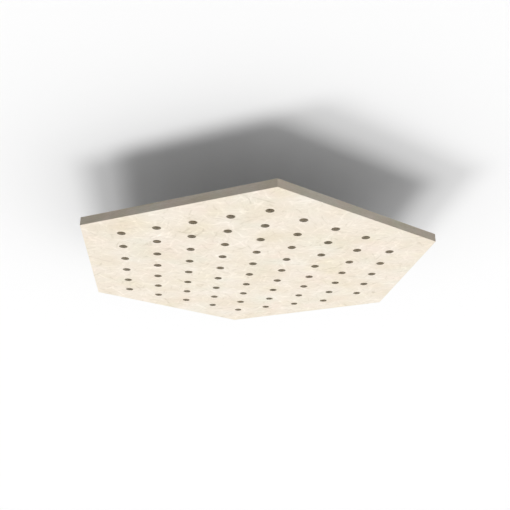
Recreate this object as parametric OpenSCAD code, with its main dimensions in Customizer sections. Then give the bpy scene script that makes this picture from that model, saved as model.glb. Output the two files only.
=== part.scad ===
// Hexagonal perforated ceiling panel: one board of pressed fibre, hung with its face down.
// Millimetres. The face lies on z = 0 and the back looks up. Two corners of the hexagon point
// along Y and two of its sides lie across X. The origin is the middle of the face.

/* [Board] */
// Length of one side of the hexagon
side_l = 590; // [450:10:900]
// Thickness of the board
board_t = 24; // [18:1:50]

/* [Perforations] */
// Distance from one hole to the next along a column, and from one column to the next
hole_pitch = 100; // [70:5:120]
// Diameter of a hole
hole_d = 25; // [8:1:36]
// Least distance from the middle of a hole to any side of the board
hole_border = 90; // [60:5:120]
// How the last column on the +X side sits beside its neighbour
last_column = "level"; // [level, staggered]

/* [Hanging bores] */
// Diameter of a blind bore in the back, for a screw-in hanger insert
hang_d = 9; // [5:0.5:12]
// Depth of a blind bore
hang_depth = 15; // [8:1:16]

/* [Hidden] */
// Distance from the middle of the board to each of its sides
apothem = side_l * cos(30);
// Number of the outermost column, counted from the middle one
last_col = floor((apothem - hole_border) / hole_pitch);
// The hanging bores sit in this column on each side, halfway out to the last one
hang_col = floor(last_col / 2);
// How far a cutter runs past a face, so that the cut is clean
overcut = 1;
// Faces on a round cutter
round_fn = 48;
board_colour = [0.95, 0.92, 0.85];

// Farthest that the middle of a hole may be from the X axis, in the column at x
function reach(x) = side_l - abs(x) / sqrt(3) - hole_border / cos(30);

// Neighbouring columns are staggered by half a pitch: 1 for a column with holes at half
// pitches, 0 for one with a hole on the X axis
function stagger(col) =
    (col == last_col && last_column == "level") ? stagger(col - 1) : (abs(col) + 1) % 2;

// Number of holes in a column
function holes_in(col) =
    stagger(col) == 1
        ? 2 * floor(reach(col * hole_pitch) / hole_pitch + 0.5)
        : 2 * floor(reach(col * hole_pitch) / hole_pitch) + 1;

// Middles of the holes in a column, which lie evenly to both sides of the X axis
function column_holes(col) =
    let (n = holes_in(col))
    [for (i = [0 : 1 : n - 1]) [col * hole_pitch, (i - (n - 1) / 2) * hole_pitch]];

// Y of the gap between the last two holes of a column
function end_gap(col) = (holes_in(col) / 2 - 1) * hole_pitch;

module board_outline() {
    rotate(90) circle(r = side_l, $fn = 6);
}

module perforations() {
    for (col = [-last_col : last_col], at = column_holes(col))
        translate([at[0], at[1], -overcut])
            cylinder(d = hole_d, h = board_t + 2 * overcut, $fn = round_fn);
}

// Blind bores from the back, each midway between two holes
module hanging_bores() {
    for (col = [-hang_col, hang_col], way = [-1, 1])
        translate([col * hole_pitch, way * end_gap(col), board_t - hang_depth])
            cylinder(d = hang_d, h = hang_depth + overcut, $fn = round_fn);
}

module panel() {
    color(board_colour)
        difference() {
            linear_extrude(board_t) board_outline();
            perforations();
            hanging_bores();
        }
}

panel();
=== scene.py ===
"""A hexagonal perforated ceiling panel: the finish of its one board, and the stage that shows it.

Metres. The board's face lies on z = 0 and looks down, and its back lies a thickness above. The
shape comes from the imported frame. This script gives it eased edges and the look of pale pressed
fibre, and adds the backdrop, the floor, the lights and the camera.
"""

import math

import bpy
from bpy.props import FloatProperty, FloatVectorProperty, PointerProperty
from bpy.types import Operator, Panel, PropertyGroup
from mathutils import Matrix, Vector


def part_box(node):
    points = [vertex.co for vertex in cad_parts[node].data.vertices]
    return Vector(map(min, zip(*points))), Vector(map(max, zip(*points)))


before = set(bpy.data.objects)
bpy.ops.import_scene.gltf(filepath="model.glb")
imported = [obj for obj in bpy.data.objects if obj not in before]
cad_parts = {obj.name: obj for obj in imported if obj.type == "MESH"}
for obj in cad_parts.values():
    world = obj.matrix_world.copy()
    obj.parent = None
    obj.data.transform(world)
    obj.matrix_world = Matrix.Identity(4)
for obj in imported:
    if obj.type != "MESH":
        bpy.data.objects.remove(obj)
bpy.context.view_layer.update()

bl_info = {
    "name": "Perforated Ceiling Panel",
    "version": (1, 0, 0),
    "blender": (4, 5, 0),
    "location": "3D View > Sidebar > Ceiling Panel",
    "description": "Finishes a hexagonal board of pressed fibre and sets its stage",
    "category": "Object",
}

BOARD = "panel"
FINISH = "pressed_fibre"
BOARD_LOW, BOARD_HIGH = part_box(BOARD)
WHITE = (1.0, 1.0, 1.0, 1.0)

# Edges

# Faces that turn by less than this many degrees count as one flat
FLAT_WITHIN = 2.0
# Edges that turn by more than this many degrees are eased
CORNER_BEYOND = 40.0
# Steps across an eased edge
ARRIS_STEPS = 2
# Corners of the mesh nearer than this share of an eased edge's width are one corner
SAME_CORNER = 0.01

# Where the cut walls are

# The normal of a cut wall rises or falls by less than this
UPRIGHT = 0.5
# Every hole lies nearer to the board's middle than this share of the distance to its sides
HOLES_REACH = 0.98

# Fields of noise

# Noise and chance run from 0 to 1 about this middle
MIDDLE = 0.5
# Noise stays mostly near its middle, and times this its spread is about 1
NOISE_SPREAD = 7.0
# Chance less its middle, times this, runs from -1 to 1
CHANCE_SPREAD = 2.0
# Distance between the places where two fields are read, so that they differ
APART = 3.7
# Number of the field that each pattern reads, or the first of its kind, where it has several
CLUMP_FIELD = 1
TOOTH_FIELD = 2
STRAND_FIELD = 1
FIBRE_FIELD = 10
CLOUD_FIELD = 20
PATCH_FIELD = 30
COOL_FIELD = 31
# How many times finer lumps are added to each pattern, each half as large as the ones before
CLUMP_DETAIL = 1.5
TOOTH_DETAIL = 2.0
STRAND_DETAIL = 1.0
BEND_DETAIL = 1.0
CLOUD_DETAIL = 2.0
PATCH_DETAIL = 4.0
# Values of the noise where a cloud of colour begins and where it is full
CLOUD_SLOPE = (-0.3, 2.0)
# Values of the noise where a side's patch is all warm and where it is all cool
PATCH_SLOPE = (-1.8, 1.8)

# Strands and fibres

# Fibres lie flat in the board, so a pattern is this many times finer through its thickness
LAID = 8.0
# Headings of the soft strands, in degrees, unevenly spread round half a turn
STRAND_HEADINGS = (12.0, 47.0, 78.0, 119.0, 158.0)
# A strand is light where its noise climbs from the first number to the second, and dark where it
# falls in the same way
LIGHT_STRAND = (0.5, 2.2)
DARK_STRAND = (-0.9, -2.3)
# How light and how dark a strand gets, next to the other
LIGHT_STRENGTH = 0.85
DARK_STRENGTH = 1.25
# A strand's width as a share of its length
STRAND_SLIM = 0.14
# Length of each set of single fibres, as a share of the longest
FIBRE_SIZES = (1.0, 0.76, 0.57, 0.42, 0.3)
# A fibre's width as a share of its length
FIBRE_SLIM = 0.03
# Most that a fibre bows, as a share of its length
FIBRE_BOW = 0.9
# Shares of a fibre's length from its middle where it is gone and where it is whole
FIBRE_END = (0.5, 0.3)
# Share of the single fibres that a cut wall doesn't show, because they are cut through there
CUT_THROUGH = 0.85

# Surface

# How light or dark the tooth is, next to a single fibre
TOOTH_SHADE = 0.15
# Height of a fibre, a strand and the tooth, as shares of the relief
FIBRE_RELIEF = 0.5
STRAND_RELIEF = 0.2
TOOTH_RELIEF = 0.08
# Roughness of the fibre, and how far the tooth changes it
ROUGHNESS = 0.9
TOOTH_ROUGHNESS = 0.02
# Strength of the fibre's dull shine
SHINE = 0.15

# Stage

# Strength of each light, and the angle that its disc fills, in degrees
FRONT_LIGHT = (0.921, 37.7)
SIDE_LIGHT = (0.953, 22.3)
TOP_LIGHT = (3.5, 22.0)
# How far out a light's symbol stands. Its heading alone says where its light comes from.
LIGHT_OUT = 3.0
# Light from around: growing from straight below to the horizon, growing towards the lean, and even
SKY_RISE = 1.886
SKY_LEAN = 1.02
SKY_EVEN = 0.2815
# How light the camera sees the ground beyond the floor
GROUND_SEEN = 0.95
# Light that the backdrop and the floor give off
BACKDROP_GLOW = 0.005
FLOOR_GLOW = 0.47


def colour_prop(name, description, default):
    return FloatVectorProperty(
        name=name, description=description, default=default, size=3, min=0.0, max=1.0, subtype="COLOR"
    )


def length_prop(name, description, default):
    return FloatProperty(
        name=name, description=description, default=default, min=0.0, precision=4, unit="LENGTH"
    )


def share_prop(name, description, default):
    return FloatProperty(
        name=name, description=description, default=default, min=0.0, max=1.0, subtype="FACTOR"
    )


def place_prop(name, description, default):
    return FloatVectorProperty(
        name=name, description=description, default=default, size=3, precision=4, subtype="TRANSLATION"
    )


def heading_prop(name, description, default):
    return FloatVectorProperty(
        name=name, description=description, default=default, size=3, subtype="DIRECTION"
    )


class BoardFinish(PropertyGroup):
    """Sizes and colours of the board's surface."""

    arris: length_prop("Arris", "Width of the eased edge round the board and its holes", 0.0002)
    cream: colour_prop("Cream", "Colour of the fibre itself", (0.811, 0.734, 0.625))
    rose: colour_prop("Rose", "Colour of the warmer clouds", (0.823, 0.721, 0.618))
    straw: colour_prop("Straw", "Colour of the yellower clouds", (0.799, 0.726, 0.587))
    sage: colour_prop("Sage", "Colour of the cooler clouds", (0.785, 0.737, 0.626))
    # The sides keep a little less colour than the face, least in blue: painted warm shade, laid in random
    # warm and cool patches
    side_warm_shade: colour_prop(
        "Sawn Warm", "Share of its colour that fibre keeps in a side's warm patches", (1.0, 0.952, 0.955)
    )
    side_cool_shade: colour_prop(
        "Sawn Cool", "Share of its colour that fibre keeps in a side's cool patches", (0.961, 0.987, 0.955)
    )
    # The hole walls keep much less colour than the face: painted shade in the holes, darkest at the mouths
    mouth_shade: colour_prop(
        "Mouth", "Share of its colour that fibre keeps at a hole's mouth", (0.435, 0.431, 0.411)
    )
    hole_shade: colour_prop(
        "Drilled", "Share of its colour that fibre keeps deep in a hole", (0.886, 0.877, 0.837)
    )
    mouth_shade_depth: length_prop("Mouth Depth", "How deep in a hole its mouth ends", 0.005)
    cloud: length_prop("Cloud Size", "Distance from one cloud of colour to the next", 0.130)
    flock: length_prop("Flock Size", "Distance from one large clump of fibre to the next", 0.115)
    patch: length_prop("Patch Size", "Distance from one patch of a side to the next", 0.060)
    strand: length_prop("Strand Length", "Length of the soft strands laid in the board", 0.080)
    bend: length_prop("Bend Length", "Length of strand that one bend takes", 0.080)
    sway: length_prop("Bend Sway", "How far the bends move a strand at most", 0.035)
    fibre: length_prop("Fibre Length", "Length of the longest single fibres that show", 0.026)
    tooth: length_prop("Tooth Size", "Size of the fine grain between the fibres", 0.0016)
    relief: length_prop("Relief", "How far the fibres stand out of the surface", 0.0002)
    clump_tone: colour_prop("Clump Tone", "Share of each colour that a clump changes", (0.41, 0.58, 1.0))
    fibre_tone: colour_prop("Fibre Tone", "Share of each colour that a fibre changes", (0.775, 0.84, 1.0))
    patch_tone: colour_prop("Patch Tone", "Share of each colour that a patch changes", (0.6, 0.65, 1.0))
    clumping: share_prop("Clumping", "How far light and dark clumps differ", 0.047)
    stranding: share_prop("Stranding", "How far light and dark strands differ", 0.13)
    contrast: share_prop("Contrast", "How far light and dark fibres differ", 0.13)
    patching: share_prop("Patching", "How far light and dark patches of a side differ", 0.032)


class StageSettings(PropertyGroup):
    """Camera, backdrop, floor and lights."""

    eye: place_prop("Eye", "Where the camera stands", (-0.2372, -2.1374, -0.7939))
    target: place_prop("Target", "What the camera looks at", (-0.0022, -0.1264, 0.0))
    lens: FloatProperty(name="Lens", description="Focal length", default=50.0, min=1.0, unit="CAMERA")
    gap: length_prop("Gap", "Free height between the board's back and the backdrop", 0.161)
    drop: length_prop("Drop", "Depth of the floor below the board's face", 1.6)
    reach: length_prop("Reach", "Side of the backdrop and of the floor", 100.0)
    backdrop: colour_prop("Backdrop", "Colour of the backdrop", (0.9, 0.9, 0.9))
    floor: colour_prop("Floor", "Colour of the floor", (0.45, 0.45, 0.45))
    front_from: heading_prop("Front Light", "Where the front light comes from", (0.031, 0.143, -1.0))
    side_from: heading_prop("Side Light", "Where the side light comes from", (-0.623, 0.647, -1.0))
    top_from: heading_prop("Top Light", "Where the top light comes from", (0.1, 0.3, 1.0))
    lean: heading_prop("Lean", "Which way the light from around gets stronger", (0.21, 0.476, 0.0))


def socket_in_use(sockets, key):
    """The socket at that place, or the one of that name that the node's settings leave in use."""
    if isinstance(key, int):
        return sockets[key]
    return next(socket for socket in sockets if socket.name == key and socket.enabled)


class Wire:
    """One output of a node. Arithmetic on wires adds Math nodes."""

    def __init__(self, net, socket):
        self.net = net
        self.socket = socket

    def other(self, name):
        """Another output of the same node."""
        return Wire(self.net, socket_in_use(self.socket.node.outputs, name))

    def __add__(self, other):
        return self.net.math("ADD", self, other)

    def __sub__(self, other):
        return self.net.math("SUBTRACT", self, other)

    def __rsub__(self, other):
        return self.net.math("SUBTRACT", other, self)

    def __mul__(self, other):
        return self.net.math("MULTIPLY", self, other)

    __radd__ = __add__
    __rmul__ = __mul__

    def __abs__(self):
        return self.net.math("ABSOLUTE", self)

    def __lt__(self, other):
        """1 where this is less than the other, and 0 elsewhere."""
        return self.net.math("LESS_THAN", self, other)

    def slope(self, start, end):
        """0 at start and 1 at end, with a smooth slope between them. The start may be the larger."""
        inputs = {"Value": self, "From Min": start, "From Max": end}
        return self.net.node("ShaderNodeMapRange", {"interpolation_type": "SMOOTHSTEP"}, inputs)


class Net:
    """The nodes of one material or world."""

    def __init__(self, owner):
        owner.use_nodes = True
        self.tree = owner.node_tree
        self.tree.nodes.clear()

    def node(self, kind, settings=None, inputs=None, output=0):
        """Adds a node, sets it up, fills its sockets with values or wires, and gives one output."""
        made = self.tree.nodes.new(kind)
        for name, value in (settings or {}).items():
            setattr(made, name, value)
        for key, value in (inputs or {}).items():
            socket = socket_in_use(made.inputs, key)
            if isinstance(value, Wire):
                self.tree.links.new(value.socket, socket)
            else:
                socket.default_value = value
        return Wire(self, socket_in_use(made.outputs, output)) if made.outputs else None

    def math(self, operation, *values):
        return self.node("ShaderNodeMath", {"operation": operation}, dict(enumerate(values)))

    def vector(self, operation, first, second):
        return self.node("ShaderNodeVectorMath", {"operation": operation}, {0: first, 1: second})

    def scaled(self, vector, factor):
        inputs = {0: vector, "Scale": factor}
        return self.node("ShaderNodeVectorMath", {"operation": "SCALE"}, inputs)

    def turned(self, vector, angle):
        """The vector turned by that angle about an upright axis."""
        inputs = {"Vector": vector, "Angle": angle}
        return self.node("ShaderNodeVectorRotate", {"rotation_type": "Z_AXIS"}, inputs)

    def part(self, vector, axis):
        """One part of a vector: X, Y or Z."""
        return self.node("ShaderNodeSeparateXYZ", None, {"Vector": vector}, axis)

    def shaded(self, colour, tone, amount):
        """The colour with that amount more light, in the tone's shares of red, green and blue."""
        inputs = {0: colour, 1: self.scaled(tone, amount), 2: colour}
        return self.node("ShaderNodeVectorMath", {"operation": "MULTIPLY_ADD"}, inputs)

    def mixed(self, factor, first, second):
        """The first colour where factor is 0 and the second where it is 1."""
        inputs = {"Factor": factor, "A": first, "B": second}
        return self.node("ShaderNodeMix", {"data_type": "RGBA"}, inputs, "Result")

    def far_off(self, place, field):
        """The place where a pattern reads the field of that number."""
        return self.vector("ADD", place, (APART * field,) * 3)

    def noise(self, place, size, detail, field):
        """Noise about 0 with a spread of about 1, whose lumps lie size apart."""
        inputs = {"Vector": self.far_off(place, field), "Scale": 1.0 / size, "Detail": detail}
        return (self.node("ShaderNodeTexNoise", None, inputs) - MIDDLE) * NOISE_SPREAD


def opaque(colour):
    return (*colour, 1.0)


def wavering(net, place, size, sway):
    """The place moved about, so that what is straight there bends. A bend takes about that size."""
    inputs = {"Vector": place, "Scale": 1.0 / size, "Detail": BEND_DETAIL}
    noise = net.node("ShaderNodeTexNoise", None, inputs, "Color")
    moved = net.scaled(net.vector("SUBTRACT", noise, (MIDDLE,) * 3), sway)
    return net.vector("ADD", place, moved)


def strands(net, laid, heading, length, field):
    """Soft strands along one heading, in degrees: noise drawn out that way."""
    drawn = net.vector("MULTIPLY", net.turned(laid, math.radians(heading)), (STRAND_SLIM, 1.0, 1.0))
    noise = net.noise(drawn, length * STRAND_SLIM, STRAND_DETAIL, field)
    light = noise.slope(*LIGHT_STRAND) * LIGHT_STRENGTH
    dark = noise.slope(*DARK_STRAND) * DARK_STRENGTH
    return light - dark


def fibres(net, laid, length, field):
    """Single bowed fibres, one to a cell, each at its own heading. Gives (shade, height)."""
    moved = net.far_off(laid, field)
    cell = net.node("ShaderNodeTexVoronoi", None, {"Vector": moved, "Scale": 1.0 / length}, "Color")
    chance = net.node("ShaderNodeSeparateColor", None, {"Color": cell}, "Red")
    from_middle = net.vector("SUBTRACT", moved, cell.other("Position"))
    along = net.part(net.turned(from_middle, chance * math.pi), "X")
    bow = (chance.other("Green") - MIDDLE) * (FIBRE_BOW / length)
    across = abs(along.other("Y") + along * along * bow)
    gone, whole = (length * share for share in FIBRE_END)
    body = across.slope(length * FIBRE_SLIM, 0.0) * abs(along).slope(gone, whole)
    return body * (chance.other("Blue") - MIDDLE) * CHANCE_SPREAD, body


def cut_walls(net):
    """1 on the upright walls, which are the sides and the holes, and 0 on the face and the back."""
    normal = net.node("ShaderNodeNewGeometry", None, None, "True Normal")
    return abs(net.part(normal, "Z")) < UPRIGHT


def among_holes(net, place):
    """1 nearer to the board's middle than its sides, and 0 at the sides."""
    level = net.vector("MULTIPLY", place, (1.0, 1.0, 0.0))
    out = net.node("ShaderNodeVectorMath", {"operation": "LENGTH"}, {0: level}, "Value")
    return out < BOARD_HIGH.x * HOLES_REACH


def clouded(net, place, finish):
    """The fibre's own colour, with clouds of each tint laid over it in turn."""
    colour = opaque(finish.cream)
    for number, tint in enumerate((finish.rose, finish.straw, finish.sage)):
        cloud = net.noise(place, finish.cloud, CLOUD_DETAIL, CLOUD_FIELD + number)
        colour = net.mixed(cloud.slope(*CLOUD_SLOPE), colour, opaque(tint))
    return colour


def side_share_with_shade(net, place, finish):
    """Share of its colour that the fibre keeps on a side, in warm and cool, light and dark patches. All of
    it is a little below 1 and lowest in blue, which paints warm shade on the sides.
    """
    cool = net.noise(place, finish.patch, PATCH_DETAIL, COOL_FIELD).slope(*PATCH_SLOPE)
    share = net.mixed(cool, opaque(finish.side_warm_shade), opaque(finish.side_cool_shade))
    patches = net.noise(place, finish.patch, PATCH_DETAIL, PATCH_FIELD)
    return net.shaded(share, finish.patch_tone, patches * finish.patching)


def hole_shade_share(net, place, finish):
    """Share of its colour that the fibre keeps in a hole, which grows from both mouths inwards. This
    paints shade on the hole walls, darkest at the mouths.
    """
    middle = (BOARD_LOW.z + BOARD_HIGH.z) / 2
    depth = BOARD_HIGH.z - middle - abs(net.part(place, "Z") - middle)
    inside = depth.slope(0.0, finish.mouth_shade_depth)
    return net.mixed(inside, opaque(finish.mouth_shade), opaque(finish.hole_shade))


def pressed_fibre(finish):
    """Pale pressed fibre: clouds of colour, clumps, crossing strands, single fibres and a tooth, with
    painted shade on the sides and in the holes.
    """
    material = bpy.data.materials.new(FINISH)
    net = Net(material)
    place = net.node("ShaderNodeTexCoord", None, None, "Object")
    laid = net.vector("MULTIPLY", place, (1.0, 1.0, LAID))
    cut = cut_walls(net)

    clumps = net.noise(laid, finish.flock, CLUMP_DETAIL, CLUMP_FIELD)
    tooth = net.noise(laid, finish.tooth, TOOTH_DETAIL, TOOTH_FIELD)
    bent = wavering(net, laid, finish.bend, finish.sway)
    crossing = sum(
        strands(net, bent, heading, finish.strand, STRAND_FIELD + number)
        for number, heading in enumerate(STRAND_HEADINGS)
    )
    sets = [
        fibres(net, laid, finish.fibre * size, FIBRE_FIELD + number)
        for number, size in enumerate(FIBRE_SIZES)
    ]
    whole = 1.0 - cut * CUT_THROUGH
    shade, height = (sum(parts) * whole for parts in zip(*sets))

    colour = clouded(net, place, finish)
    colour = net.shaded(colour, finish.clump_tone, clumps * finish.clumping)
    fine = crossing * finish.stranding + (shade + tooth * TOOTH_SHADE) * finish.contrast
    colour = net.shaded(colour, finish.fibre_tone, fine)
    # Painted shade on the upright walls: a little darker and warmer on the sides, and darker in the holes,
    # most at their mouths
    side_with_shade = side_share_with_shade(net, place, finish)
    hole_shade = hole_shade_share(net, place, finish)
    wall_patches_and_shade = net.mixed(among_holes(net, place), side_with_shade, hole_shade)
    colour = net.mixed(cut, colour, net.vector("MULTIPLY", colour, wall_patches_and_shade))

    relief = height * FIBRE_RELIEF + crossing * STRAND_RELIEF + tooth * TOOTH_RELIEF
    bump = net.node("ShaderNodeBump", None, {"Distance": finish.relief, "Height": relief})
    surface = {
        "Base Color": colour,
        "Roughness": ROUGHNESS + tooth * TOOTH_ROUGHNESS,
        "Specular IOR Level": SHINE,
        "Normal": bump,
    }
    shader = net.node("ShaderNodeBsdfPrincipled", None, surface)
    net.node("ShaderNodeOutputMaterial", None, {"Surface": shader})
    return material


class CEILINGPANEL_OT_finish_board(Operator):
    """Ease the board's edges and give it its pressed fibre"""

    bl_idname = "ceiling_panel.finish_board"
    bl_label = "Finish Board"
    bl_options = {"REGISTER", "UNDO"}

    def execute(self, context):
        finish = context.scene.board_finish
        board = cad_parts[BOARD]
        corners = board.modifiers.new("Joined corners", "WELD")
        corners.merge_threshold = finish.arris * SAME_CORNER
        flats = board.modifiers.new("Joined flats", "DECIMATE")
        flats.decimate_type = "DISSOLVE"
        flats.angle_limit = math.radians(FLAT_WITHIN)
        arris = board.modifiers.new("Arris", "BEVEL")
        arris.width = finish.arris
        arris.segments = ARRIS_STEPS
        arris.limit_method = "ANGLE"
        arris.angle_limit = math.radians(CORNER_BEYOND)
        board.modifiers.new("Flat shading on the flats", "WEIGHTED_NORMAL")
        board.data.materials[0] = pressed_fibre(finish)
        return {"FINISHED"}


def studio_sun(name, heading, strength, spread, direct_only=False):
    """A soft light from that heading. The spread is the angle that its disc fills, in degrees."""
    bpy.ops.object.light_add(type="SUN", location=Vector(heading).normalized() * LIGHT_OUT)
    sun = bpy.context.active_object
    sun.name = name
    sun.rotation_euler = Vector(heading).to_track_quat("Z", "Y").to_euler()
    sun.data.energy = strength
    sun.data.angle = math.radians(spread)
    if direct_only:
        sun.data.cycles.max_bounces = 0
        sun.data.cycles.use_multiple_importance_sampling = False


def studio_world(lean):
    """Light from around and below, stronger near the horizon, and a pale ground where nothing stands."""
    world = bpy.data.worlds.new("Studio")
    bpy.context.scene.world = world
    net = Net(world)
    heading = net.node("ShaderNodeTexCoord", None, None, "Generated")
    leaning = {0: heading, 1: lean}
    leaned = net.node("ShaderNodeVectorMath", {"operation": "DOT_PRODUCT"}, leaning, "Value")
    height = net.part(heading, "Z")
    rise = height + 1.0
    strength = (rise * rise * SKY_RISE + leaned * SKY_LEAN + SKY_EVEN) * (height < 0.0)
    light = net.node("ShaderNodeBackground", None, {"Color": WHITE, "Strength": strength})
    seen = net.node("ShaderNodeBackground", None, {"Color": WHITE, "Strength": GROUND_SEEN})
    by_camera = net.node("ShaderNodeLightPath", None, None, "Is Camera Ray")
    both = net.node("ShaderNodeMixShader", None, {0: by_camera, 1: light, 2: seen})
    net.node("ShaderNodeOutputWorld", None, {"Surface": both})


def pale_plane(name, height, turn, colour, glow, reach):
    """A wide pale plane, seen from the side that it faces and clear from the other."""
    bpy.ops.mesh.primitive_plane_add(size=reach, location=(0, 0, height), rotation=(turn, 0, 0))
    plane = bpy.context.active_object
    plane.name = name
    bpy.ops.object.transform_apply(location=True, rotation=True, scale=True)
    material = bpy.data.materials.new(name)
    net = Net(material)
    surface = {
        "Base Color": opaque(colour),
        "Roughness": 1.0,
        "Specular IOR Level": 0.0,
        "Emission Color": WHITE,
        "Emission Strength": glow,
    }
    paint = net.node("ShaderNodeBsdfPrincipled", None, surface)
    clear = net.node("ShaderNodeBsdfTransparent")
    back = net.node("ShaderNodeNewGeometry", None, None, "Backfacing")
    both = net.node("ShaderNodeMixShader", None, {0: back, 1: paint, 2: clear})
    net.node("ShaderNodeOutputMaterial", None, {"Surface": both})
    plane.data.materials.append(material)
    plane.visible_shadow = False
    plane.visible_diffuse = False
    plane.visible_glossy = False
    plane.visible_transmission = False


class CEILINGPANEL_OT_make_stage(Operator):
    """Add the camera, the pale backdrop and floor, and the studio lights"""

    bl_idname = "ceiling_panel.make_stage"
    bl_label = "Make Stage"
    bl_options = {"REGISTER", "UNDO"}

    def execute(self, context):
        stage = context.scene.stage_settings
        bpy.ops.object.select_all(action="DESELECT")
        eye, target = Vector(stage.eye), Vector(stage.target)
        facing = (target - eye).to_track_quat("-Z", "Y")
        bpy.ops.object.camera_add(location=eye, rotation=facing.to_euler())
        camera = context.active_object
        camera.name = "View"
        camera.data.lens = stage.lens
        camera.data.clip_end = stage.reach
        context.scene.camera = camera

        above = BOARD_HIGH.z + stage.gap
        below = BOARD_LOW.z - stage.drop
        pale_plane("Backdrop", above, math.pi, stage.backdrop, BACKDROP_GLOW, stage.reach)
        pale_plane("Floor", below, 0.0, stage.floor, FLOOR_GLOW, stage.reach)
        studio_sun("Front light", stage.front_from, *FRONT_LIGHT)
        studio_sun("Side light", stage.side_from, *SIDE_LIGHT)
        studio_sun("Top light", stage.top_from, *TOP_LIGHT, direct_only=True)
        studio_world(stage.lean)
        context.scene.view_settings.view_transform = "Standard"
        return {"FINISHED"}


class CEILINGPANEL_PT_sidebar(Panel):
    """Lists the operators and their settings"""

    bl_idname = "CEILINGPANEL_PT_sidebar"
    bl_label = "Ceiling Panel"
    bl_space_type = "VIEW_3D"
    bl_region_type = "UI"
    bl_category = "Ceiling Panel"

    def draw(self, context):
        for group, operator in (
            (context.scene.board_finish, CEILINGPANEL_OT_finish_board),
            (context.scene.stage_settings, CEILINGPANEL_OT_make_stage),
        ):
            box = self.layout.box()
            for name in group.__annotations__:
                box.prop(group, name)
            box.operator(operator.bl_idname)


CLASSES = (
    BoardFinish,
    StageSettings,
    CEILINGPANEL_OT_finish_board,
    CEILINGPANEL_OT_make_stage,
    CEILINGPANEL_PT_sidebar,
)


def register():
    for cls in CLASSES:
        bpy.utils.register_class(cls)
    bpy.types.Scene.board_finish = PointerProperty(type=BoardFinish)
    bpy.types.Scene.stage_settings = PointerProperty(type=StageSettings)


def unregister():
    del bpy.types.Scene.stage_settings
    del bpy.types.Scene.board_finish
    for cls in reversed(CLASSES):
        bpy.utils.unregister_class(cls)


def main():
    register()
    bpy.ops.ceiling_panel.finish_board()
    bpy.ops.ceiling_panel.make_stage()


if __name__ == "__main__":
    main()
